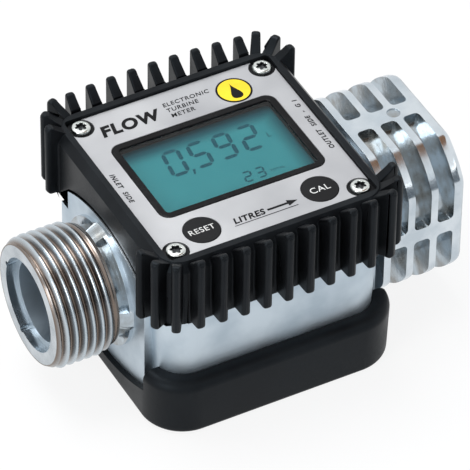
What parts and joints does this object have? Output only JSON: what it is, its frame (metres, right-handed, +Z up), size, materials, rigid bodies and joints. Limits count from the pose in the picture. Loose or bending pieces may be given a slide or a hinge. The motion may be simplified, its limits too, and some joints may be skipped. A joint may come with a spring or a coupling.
{
  "type": "turbine flow meter",
  "caption": "Inline electronic turbine flow meter for one-inch pipe, with a battery display head, finned rubber shroud and rubber base boot.",
  "frame": {"origin": "centre of the underside of the base boot, straight below the middle of the body block", "axes": "+X along the flow from the male inlet to the female outlet, +Z up through the display, +Y towards the top of the display"},
  "size_m": [0.1072, 0.072, 0.0548],
  "materials": {
    "die_cast_aluminium": "satin",
    "white_acetal": "satin",
    "grey_acetal": "satin",
    "bearing_bronze": "satin",
    "stainless_steel": "polished",
    "magnet_nickel": "polished",
    "spring_steel": "satin",
    "black_rubber": "satin",
    "black_plastic": "satin",
    "circuit_board_green": "satin",
    "sensor_glass": "gloss",
    "pink_elastomer": "matte",
    "lcd_glass": "gloss",
    "window_frame_black": "gloss",
    "clear_window": "gloss",
    "printed_metal_plate": "satin",
    "button_black": "satin",
    "battery_wrap": "gloss"
  },
  "bodies": {
    "meter": {"meter_body": "die_cast_aluminium", "inlet_straightener": "white_acetal", "outlet_straightener": "white_acetal", "inlet_bearing": "bearing_bronze", "outlet_bearing": "bearing_bronze", "retaining_ring": "spring_steel", "housing_gasket": "black_rubber", "display_housing": "black_plastic", "circuit_board": "circuit_board_green", "board_screws": "stainless_steel", "pulse_sensor": "sensor_glass", "tact_switches": "black_plastic", "connector_strips": "pink_elastomer", "lcd_holder": "white_acetal", "lcd_module": "lcd_glass", "window_frame": "window_frame_black", "display_window": "clear_window", "face_plate": "printed_metal_plate", "housing_screws": "stainless_steel", "battery_tray": "black_plastic", "front_battery": "battery_wrap", "rear_battery": "battery_wrap", "battery_contacts": "spring_steel", "finned_shroud": "black_rubber", "base_boot": "black_rubber"},
    "turbine": {"turbine_rotor": "grey_acetal", "rotor_shaft": "stainless_steel", "rotor_magnets": "magnet_nickel"},
    "reset": {"reset_button": "button_black"},
    "cal": {"cal_button": "button_black"}
  },
  "joints": [
    {"name": "turbine_spin", "type": "hinge", "parent": "meter", "child": "turbine", "pos_m": [0, 0, 0.0255], "axis": [1, 0, 0], "continuous": true},
    {"name": "reset_press", "type": "slide", "parent": "meter", "child": "reset", "axis": [0, 0, -1], "range_m": [0, 0.0005], "stiffness_N_per_m": 2000, "springref_m": -0.0002},
    {"name": "cal_press", "type": "slide", "parent": "meter", "child": "cal", "axis": [0, 0, -1], "range_m": [0, 0.0005], "stiffness_N_per_m": 2000, "springref_m": -0.0002}
  ]
}
